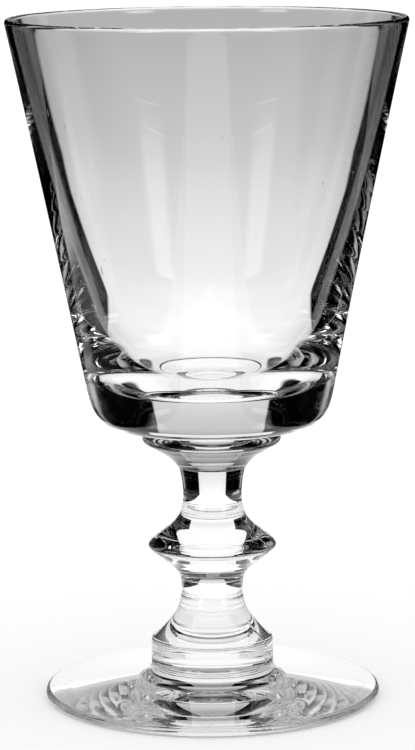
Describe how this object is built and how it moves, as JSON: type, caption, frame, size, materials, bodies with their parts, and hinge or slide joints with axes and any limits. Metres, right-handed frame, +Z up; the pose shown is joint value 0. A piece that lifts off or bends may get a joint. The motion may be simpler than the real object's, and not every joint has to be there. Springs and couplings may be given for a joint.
{
  "type": "water goblet",
  "caption": "Clear glass water goblet with a straight conical bowl on a heavy base, a bladed knop stem and a round foot.",
  "frame": {"origin": "middle of the plane that the foot rests on", "axes": "+Z up along the goblet's axis, from the foot to the rim; +X to the right and -Y towards the viewer of the picture"},
  "size_m": [0.0908, 0.0908, 0.156],
  "materials": {
    "glass": "clear, fire-polished, colourless"
  },
  "bodies": {
    "root": {"bowl": "glass", "bowl_collar": "glass", "upper_stem": "glass", "knop": "glass", "lower_stem": "glass", "pedestal": "glass", "foot": "glass"}
  },
  "joints": []
}
